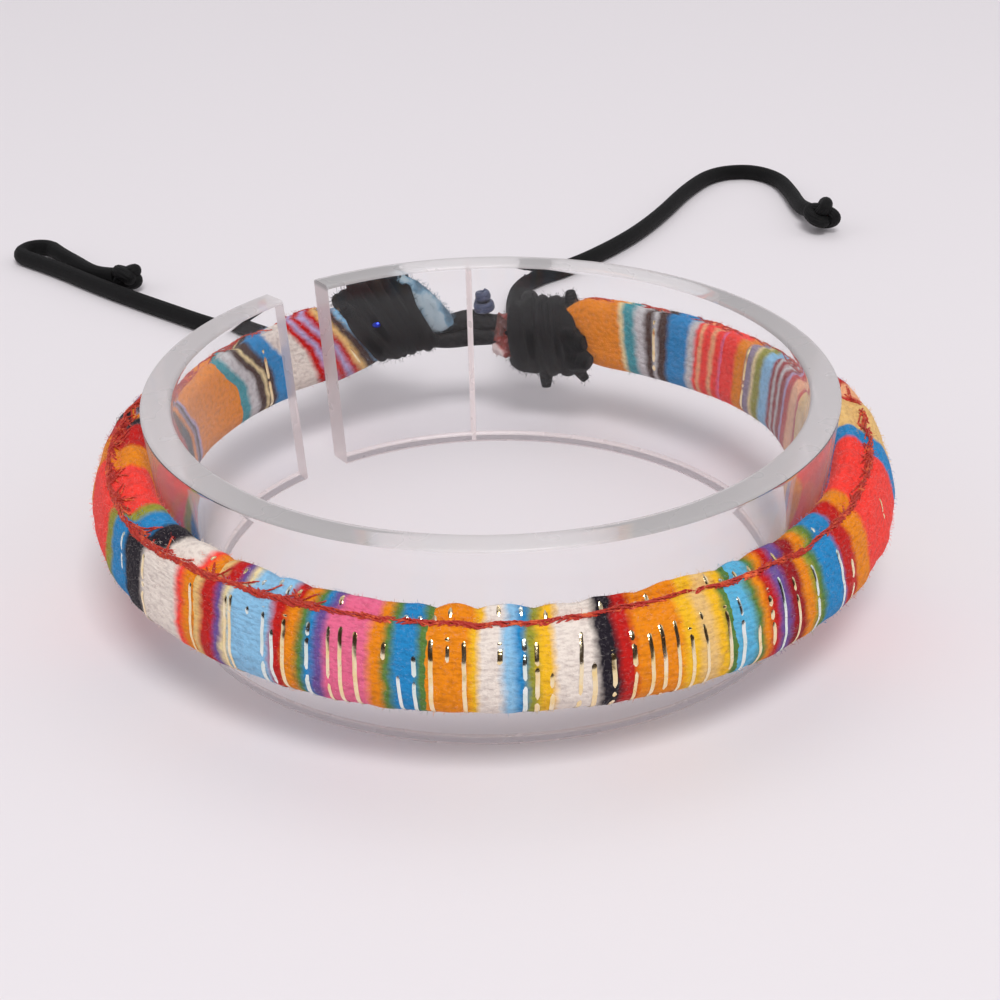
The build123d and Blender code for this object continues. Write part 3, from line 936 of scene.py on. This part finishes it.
for angle, low, high, slant, dives, metal in foil_threads:
    angle = angle if angle <= band_start else angle - 360
    ends = sorted(luck.uniform(low + 6, high - 4) for i in range(dives)) + [high]
    here = low
    for end in ends:
        middle = slant * ((here + end) / 2 - (low + high) / 2) / (high - low)
        leaning = slant * (end - here) / (high - low)
        foil_strip(strips[metal], angle + middle, here, end, leaning, foil_width * luck.uniform(0.75, 1.15))
        here = end + luck.uniform(2, 7)
    if luck.random() < 0.5:
        here = luck.uniform(100, 112)
        foil_strip(strips[metal], angle, here, here + luck.uniform(5, 14), 0.0, foil_width * 0.9)
for metal, bm in strips.items():
    add_object(metal + "_threads", solid_mesh(bm, metal + "_threads"), foils[metal])

# Seam: thin two-ply orange-red threads laid in the groove, whipped over the lip at each stitch.
# Each stitch is a small bundle of slanting loops, thickest on the left and mostly sunk in the cloth behind.
seam_ply = 0.050 * mm
seam_twist = 0.9 * mm
seam_lay = 4.1 * mm
seam_spread = 0.125 * mm
seam_step = 0.35
seam_shade = (180, 34, 12)
seam_fibre_highlight = (252, 122, 58)
seam_nap_count = 2600
seam_nap_length = 0.4 * mm
most_sunk = 0.34 * mm
loop_ends_sunk = 0.10 * mm
nap_width = 0.012 * mm

seam_thread, tree, surface = new_material("orange red thread")
# The pale orange patches on the deep red are partly loose fibres and partly painted highlights.
worn = with_fibres(tree, dye(seam_shade), seam_fibre_highlight, 1.0, 1400.0)
finished(tree, surface, {
    "Base Color": worn["Colour"],
    "Roughness": 0.5,
    "Normal": raised(tree, 0.6, 0.03 * mm, worn["Height"]),
    "Sheen Weight": 0.1,
})

luck = random.Random(23)
groove_line = []
angle = band_start - 0.5
while angle > band_start - band_turn + 0.5:
    sway = 0.05 * noise.noise(Vector((angle / 5, 0, 0)))
    deeper = 1.2 if angle > 0 or angle < -195 else 0.0
    sunk = max(noise.noise(Vector((angle / 3.5, 7, 0))) + deeper, 0.0) * most_sunk
    point, normal = on_top(angle, seam_at + 0.03 + sway)
    groove_line.append(point + normal * (seam_ply * 1.8 - sunk))
    angle -= seam_step
whip_foot = seam_at + 0.08
whips = []
for way in stitch_ways:
    angle = band_start - band_turn * way
    on_left = -205 < angle < -106
    behind = angle > 0 or angle < -205
    for strand in range(20 if on_left else 4 if behind else 8):
        slant = luck.uniform(2.2, 6.0) * (-1 if strand % 2 else 1)
        reach = luck.uniform(0.18, 0.28) if on_left and luck.random() < 0.12 else luck.uniform(0.30, 0.44)
        begin = angle - slant * 0.5 + luck.gauss(0, 2.0)
        rise = seam_ply * luck.uniform(1.2, 3.0) * (0.4 if behind else 1.0)
        line = []
        for i in range(13):
            share = i / 12
            across = whip_foot + (reach - whip_foot) * share
            point, normal = on_top(begin + slant * share, across)
            sunk = loop_ends_sunk if share in (0.0, 1.0) else 0.0
            line.append(point + normal * (rise * math.sin(math.pi * share) - sunk))
        whips.append(line)
strands = plies(groove_line, 3, seam_spread, seam_lay) + whips
seam_lines = [ply for line in strands for ply in plies(line, 2, seam_ply * 0.9, seam_twist)]
mesh = tubes("seam_thread", seam_lines, seam_ply, sides=1)


def nap_lines(count, source, luck, length):
    """Bent fibres that start at random places of a mesh and lean along it."""
    faces = [face for face in source.polygons if len(face.vertices) < 6]
    # Sorted by their corners, because a mesh may list its faces in another order on each run
    faces.sort(key=lambda face: sorted(tuple(source.vertices[i].co) for i in face.vertices))
    lines = []
    for i in range(count):
        face = faces[luck.randrange(len(faces))]
        lean = Vector((luck.gauss(0, 0.55), luck.gauss(0, 0.55), luck.gauss(0, 0.55)))
        reach = length * luck.uniform(0.35, 1.3)
        heading = (face.normal + lean).normalized()
        bend = Vector((luck.gauss(0, 0.35), luck.gauss(0, 0.35), luck.gauss(0, 0.35)))
        root = face.center - face.normal * 0.03 * mm
        lines.append([root, root + heading * reach * 0.5, root + (heading + bend).normalized() * reach])
    return lines


bm = bmesh.new()
bm.from_mesh(mesh)
fibres = nap_lines(seam_nap_count, mesh, random.Random(31), seam_nap_length)
bm.from_mesh(tubes("seam_nap", fibres, nap_width, flat=True))
bm.to_mesh(mesh)
bm.free()
add_object("seam_thread", mesh, seam_thread)

# Nap: short loose cotton fibres that stand off the worn cloth.
# They are finer than a hair and take the dye of the stripe that they grow from.
nap_count = 17000
nap_length = 0.34 * mm

cloth_nap, tree, surface = new_material("cotton nap")
axes = node(tree, "SeparateXYZ", {0: place_on_piece(tree)}).outputs
turned = sums(tree, "MULTIPLY", sums(tree, "ARCTAN2", axes[1], axes[0]), 180 / math.pi)
behind = sums(tree, "MULTIPLY", sums(tree, "GREATER_THAN", turned, band_start + 22), 360.0)
angle = sums(tree, "SUBTRACT", turned, behind)
flat_place = node(tree, "CombineXYZ", {0: axes[0], 1: axes[1]}).outputs[0]
out = node(tree, "VectorMath", {0: flat_place}, operation="LENGTH").outputs["Value"]
inwards = spanned(tree, out, 32.2 * mm, 30.8 * mm, eased=True)
upwards = spanned(tree, axes[2], 10.6 * mm, 13.6 * mm, eased=True)
lip_share = sums(tree, "MULTIPLY", inwards, upwards)
dyed = placed(tree, led_stripes, {"Angle": angle, "On lip": lip_share})[0]
pale = blended(tree, 0.15, dyed, dye(cotton_fibre))
finished(tree, surface, {"Base Color": pale, "Roughness": 0.8, "Sheen Weight": 0.3})
fibres = nap_lines(nap_count, band.data, random.Random(3), nap_length)
mesh = tubes("cotton_nap", fibres, nap_width, flat=True)
add_object("cotton_nap", mesh, cloth_nap)

# Bindings: black cord wound round the narrowed ends of the cloth until they are covered.
# The turns lean with the cloth, cross and press into each other, and their worn fibres blur them.
winding_cord = 1.35 * mm
winding_nap_count = 5200
winding_nap_length = 0.55 * mm
worn_fibre = 0.016 * mm
# Each binding: its angles round the ring, leans, height, thickness, middle, turns of its two layers, its
# sections (way along it, fullness of thickness and height, lift as a share of the height), and its cut
# ends, as way along it, angle round it, how far they stick out, where they lean and how thick they are
bindings = {
    "left": {
        "start": 114.6, "end": 100.8, "start_lean": 40.0, "end_lean": 24.0, "height": 7.8 * mm,
        "thickness": 6.0 * mm, "middle": band_middle + 1.9 * mm, "layers": (7.6, -3.4), "seed": 4,
        "sections": [
            (0.0, 0.84, 0.74, -0.20), (0.25, 0.98, 0.94, -0.06), (0.65, 1.0, 1.0, 0.0),
            (1.0, 0.82, 0.84, 0.0),
        ],
        "tucks": [(0.15, 130, 1.0, 0.0, 1.1), (0.3, -70, 0.9, 0.1, 1.1)],
    },
    "right": {
        "start": 72.6, "end": 85.9, "start_lean": 14.0, "end_lean": 0.0, "height": 7.2 * mm,
        "thickness": 6.2 * mm, "middle": band_middle - 1.0 * mm, "layers": (9.4, -4.3), "seed": 9,
        "sections": [
            (0.0, 0.96, 0.98, 0.03), (0.25, 1.02, 1.04, 0.02), (0.7, 1.0, 1.0, 0.0),
            (1.0, 0.86, 0.86, 0.0),
        ],
        "tucks": [
            (0.06, 96, 1.3, -0.05, 1.2), (0.12, 166, 0.1, -0.18, 1.7), (0.10, 180, 0.1, -0.26, 1.9),
            (0.10, 194, 0.1, -0.27, 1.9), (0.12, 208, 0.1, -0.16, 1.7), (0.55, -92, 1.8, 0.02, 1.2),
            (0.15, -100, 0.9, -0.1, 1.0), (0.8, -80, 0.8, 0.05, 1.0),
        ],
    },
}


def bundle_point(side, way, psi, spare):
    """Point round a binding at a way along it and an angle round it, outside its surface by a spare."""
    kept = min(max(way, 0.0), 1.0)
    wide, tall, lift = [on_curve(side["sections"], kept, column) for column in (1, 2, 3)]
    p = math.radians(psi)
    squareness = 0.8
    across = math.copysign(abs(math.cos(p)) ** squareness, math.cos(p))
    up = math.copysign(abs(math.sin(p)) ** squareness, math.sin(p))
    z = side["middle"] + lift * side["height"] + up * (side["height"] * tall / 2 + spare)
    half = side["thickness"] / 2
    distance = half + across * (half * (wide if across > 0 else 1.0) + spare)
    angle = side["start"] + (side["end"] - side["start"]) * way
    lean = side["start_lean"] + (side["end_lean"] - side["start_lean"]) * way
    return leaning_point(angle, max(distance, 0.02 * mm), z, lean)


for name, side in bindings.items():
    luck = random.Random(side["seed"])
    lines = []
    for layer, turns in enumerate(side["layers"]):
        line = []
        steps = round(abs(turns) * 36)
        for i in range(steps + 1):
            share = i / steps
            psi = 200 + 360 * turns * share
            spot = Vector((psi / 95, 3.0 * layer, side["seed"]))
            way = 0.04 + 0.92 * share + 0.045 * noise.noise(spot)
            swell = 0.30 * mm * noise.noise(spot * 1.7) + layer * 0.22 * mm
            line.append(bundle_point(side, way, psi, swell - winding_cord * 0.46))
        lines.append(line)
    core = bmesh.new()
    bmesh.ops.create_uvsphere(core, u_segments=40, v_segments=24, radius=1.0)
    for vertex in core.verts:
        way = math.asin(min(max(vertex.co.z, -1), 1)) / math.pi + 0.5
        spread = math.hypot(vertex.co.x, vertex.co.y)
        psi = math.degrees(math.atan2(vertex.co.y, vertex.co.x))
        rim = bundle_point(side, way, psi, -winding_cord * 0.30)
        middle = bundle_point(side, way, 90, 0).lerp(bundle_point(side, way, -90, 0), 0.5)
        vertex.co = middle.lerp(rim, min(1.0, spread * 1.6))
    bmesh.ops.recalc_face_normals(core, faces=core.faces[:])
    mesh = tubes(name + "_winding", lines, winding_cord / 2, sides=4)
    core.from_mesh(mesh)
    for way, psi, reach, drift, fat in side["tucks"]:
        root = bundle_point(side, way, psi, -0.6 * mm)
        tip = bundle_point(side, way + drift, psi + luck.uniform(-8, 8), reach * mm)
        stub = [root.lerp(tip, i / 5) for i in range(6)]
        taper = [fat * (1 - 0.4 * (i / 5) ** 2) for i in range(6)]
        core.from_mesh(tubes(name + "_tuck", [stub], winding_cord / 2, sides=3, taper=taper))
    core.to_mesh(mesh)
    fuzz = nap_lines(winding_nap_count, mesh, random.Random(side["seed"] + 1), winding_nap_length)
    core.from_mesh(tubes(name + "_fuzz", fuzz, worn_fibre, flat=True))
    core.to_mesh(mesh)
    core.free()
    mesh.polygons.foreach_set("use_smooth", [True] * len(mesh.polygons))
    piece = add_object(name + "_winding", mesh, black_cord)
    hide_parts(name + "_binding")

# Blue glint: a crumb of blue metal between two turns of the left binding, put there as a painted blue
# reflection.
# It shows as one bright blue glint through the wall.
blue_glint_metal = foil_material("blue glint metal", (24, 44, 226), (90, 120, 250))
glint_place = leaning_point(110.0, -0.4 * mm, 12.9 * mm, 35.0)
bm = bmesh.new()
bmesh.ops.create_icosphere(bm, subdivisions=2, radius=0.3 * mm)
bmesh.ops.scale(bm, vec=(1.5, 0.5, 1.0), verts=bm.verts[:])
bmesh.ops.translate(bm, vec=glint_place, verts=bm.verts[:])
add_object("blue_fleck", solid_mesh(bm, "blue_fleck", smooth=False), blue_glint_metal)

# Cloth tips: the two ends of the cloth strip that stick out of the bindings, cut off and frayed.
# The left one is light blue with a slanting edge, the right one red with pale pinkish patches, partly cloth
# colour and partly a painted glint.
fray_count = 700
fray_length = 0.5 * mm
hidden_share = 0.3
tips = [
    {
        "name": "left_tip", "side": "left", "way": -1, "length": 3.4 * mm, "height": 6.0 * mm,
        "thickness": 1.4 * mm, "middle": band_middle + 2.9 * mm, "lean": 26.0, "end_lean": 40.0,
        "shade": (118, 156, 178), "tint": (166, 184, 192), "dark": (84, 112, 130), "ragged": 0.15,
    },
    {
        "name": "right_tip", "side": "right", "way": 1, "length": 1.7 * mm, "height": 5.4 * mm,
        "thickness": 1.2 * mm, "middle": band_middle - 0.9 * mm, "lean": 4.0, "end_lean": -10.0,
        "shade": (178, 62, 52), "tint": (226, 208, 204), "dark": (96, 58, 52), "ragged": 0.8,
    },
]
for tip in tips:
    material, tree, surface = new_material(tip["name"] + " cloth")
    patches = mottle(tree, place_on_piece(tree), 420.0, 3.0)
    # The tint patches are a random tone; on the right tip they are partly a painted glint.
    dyed = blended(tree, spanned(tree, patches, 0.46, 0.56), dye(tip["shade"]), dye(tip["tint"]))
    dyed = blended(tree, spanned(tree, patches, 0.5, 0.38), dyed, dye(tip["dark"]))
    fuzzy = with_fibres(tree, dyed, (230, 226, 226), 0.15, 2200.0)
    finished(tree, surface, {
        "Base Color": fuzzy["Colour"],
        "Roughness": 0.85,
        "Normal": raised(tree, 0.7, 0.08 * mm, fuzzy["Height"]),
        "Sheen Weight": 0.1,
    })
    side = bindings[tip["side"]]
    degrees = math.degrees(tip["length"] / (wall_radius(tip["middle"]) + side["thickness"] / 2))
    bm = bmesh.new()
    bmesh.ops.create_uvsphere(bm, u_segments=36, v_segments=20, radius=1.0)
    for vertex in bm.verts:
        way = vertex.co.z
        spread = math.hypot(vertex.co.x, vertex.co.y) ** 0.55
        psi = math.atan2(vertex.co.y, vertex.co.x)
        across = math.cos(psi) * spread * tip["thickness"] / 2 + side["thickness"] * 0.36
        up = math.sin(psi) * spread * tip["height"] / 2
        lean = tip["lean"] + (tip["end_lean"] - tip["lean"]) * max(way, 0)
        angle = side["end"] + tip["way"] * degrees * (way if way > 0 else way * hidden_share)
        point = leaning_point(angle, across, tip["middle"] + up, lean)
        rough = noise.noise(point / (0.9 * mm)) * tip["ragged"] * mm
        vertex.co = point + Vector((point.x, point.y, 0)).normalized() * rough + Vector((0, 0, rough))
    mesh = solid_mesh(bm, tip["name"] + "_cloth")
    add_object(tip["name"] + "_cloth", mesh, material)
    fibres = nap_lines(fray_count, mesh, random.Random(8), fray_length)
    frays = tubes(tip["name"] + "_frays", fibres, worn_fibre, flat=True)
    add_object(tip["name"] + "_frays", frays, material)

# Link: two strands of the same cord that run from the right binding into the left one.
# They draw the bracelet shut, and lie one above the other outside the gap between the tips.
# Rows of a strand: angle round the ring, height in millimetres and distance from the wall
link_strands = {
    "link_strand_upper": [
        (85.5, 10.6, 3.2), (88.0, 10.4, 3.1), (90.5, 10.6, 3.0), (93.5, 11.2, 3.0), (96.5, 10.8, 3.0),
        (99.5, 10.5, 3.1), (103.0, 10.6, 3.3),
    ],
    "link_strand_lower": [
        (85.5, 9.6, 3.0), (88.0, 9.4, 3.0), (90.5, 9.3, 2.9), (93.5, 9.3, 2.9), (96.5, 9.1, 3.0),
        (99.5, 9.2, 3.0), (103.0, 9.6, 3.1),
    ],
}
for name, rows in link_strands.items():
    places = [leaning_point(angle, distance * mm, height * mm, 0) / mm for angle, height, distance in rows]
    line = line_of(cord_curve(name + "_line", places))
    mesh = tubes(name + "_cord", [line], cord_diameter / 2, sides=5)
    piece = add_object(name + "_cord", mesh, black_cord)
    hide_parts(name)

# Link knot: a short end of blue-grey thread tied round the upper strand, two small lumps of turns.
blue_knot, tree, surface = new_material("blue grey thread")
worn = with_fibres(tree, dye((48, 58, 88)), (120, 130, 158), 0.8, 1300.0)
finished(tree, surface, {
    "Base Color": worn["Colour"],
    "Roughness": 0.6,
    "Normal": raised(tree, 0.6, 0.05 * mm, worn["Height"]),
    "Sheen Weight": 0.3,
})
knot_foot = leaning_point(91.1, 3.0 * mm, 12.1 * mm, 0)
# Rows of a lump: height above the foot, radius of its turns, how many turns and their rise
lumps = [(0.35, 0.85, 2.6, 0.7), (1.45, 0.48, 2.2, 0.5)]
lines = []
for height, radius, turns, rise in lumps:
    line = []
    steps = round(turns * 20)
    for i in range(steps + 1):
        share = i / steps
        t = 2 * math.pi * turns * share
        bulge = radius * (0.8 + 0.3 * math.sin(math.pi * share))
        up = height + rise * (share - 0.5) * 1.2
        line.append(knot_foot + Vector((bulge * math.cos(t), bulge * math.sin(t), up)) * mm)
    lines.append(line)
mesh = tubes("link_knot_thread", lines, 0.36 * mm, sides=3)
piece = add_object("link_knot_thread", mesh, blue_knot)
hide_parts("link_knot")

# The surface that it stands on: a plain pale table top, lit by soft lamps as in a small photo studio.
# The main panel hangs above in front, a thin strip behind the camera, and weaker panels stand round it.
# What the foil mirrors from the front is dim, and the rest of the room is bright.
table_shade = (229, 224, 227)
table, tree, surface = new_material("pale table")
grain = mottle(tree, place_on_piece(tree), 700.0, 3.0)
finished(tree, surface, {
    "Base Color": dye(table_shade),
    "Roughness": 0.75,
    "Normal": raised(tree, 0.2, 0.1 * mm, grain),
})
bm = bmesh.new()
bmesh.ops.create_grid(bm, x_segments=2, y_segments=2, size=3.0)
mesh = bpy.data.meshes.new("table")
bm.to_mesh(mesh)
bm.free()
mesh.materials.append(table)
floor = bpy.data.objects.new("table", mesh)
bpy.context.scene.collection.objects.link(floor)

# Rows: name, place in metres, width, height and power
lamps = [
    ("key panel", (0.12, -0.62, 1.05), 0.5, 0.35, 8.0),
    ("front strip", (0.1, -1.05, 0.72), 0.5, 0.03, 1.0),
    ("back panel", (0.0, 0.8, 1.2), 1.2, 0.6, 1.4),
    ("left panel", (-1.1, -0.1, 0.7), 0.8, 0.8, 0.9),
    ("right panel", (1.1, 0.0, 0.7), 0.8, 0.8, 0.9),
]
for name, place, wide, tall, power in lamps:
    lamp = bpy.data.lights.new(name, "AREA")
    lamp.shape = "RECTANGLE"
    lamp.size = wide
    lamp.size_y = tall
    lamp.energy = power
    panel = bpy.data.objects.new(name, lamp)
    bpy.context.scene.collection.objects.link(panel)
    facing = (Vector((0, 0, 0.01)) - Vector(place)).to_track_quat("-Z", "Y").to_matrix().to_4x4()
    panel.matrix_world = Matrix.Translation(Vector(place)) @ facing
world = bpy.data.worlds.new("room")
world.use_nodes = True
tree = world.node_tree
seen = node(tree, "TexCoord", {}).outputs["Generated"]
towards = node(tree, "SeparateXYZ", {0: seen}).outputs
front = spanned(tree, towards[1], 0.15, -0.15)
below_top = spanned(tree, towards[2], 0.99, 0.95)
rays = node(tree, "LightPath", {}).outputs
reflected = sums(tree, "SUBTRACT", rays["Is Glossy Ray"], rays["Is Transmission Ray"])
shade = sums(tree, "MULTIPLY", sums(tree, "MULTIPLY", front, below_top), reflected)
room_light = blended(tree, shade, (0.50, 0.49, 0.51, 1), (0.03, 0.02, 0.018, 1))
tree.links.new(room_light, tree.nodes["Background"].inputs[0])
bpy.context.scene.world = world
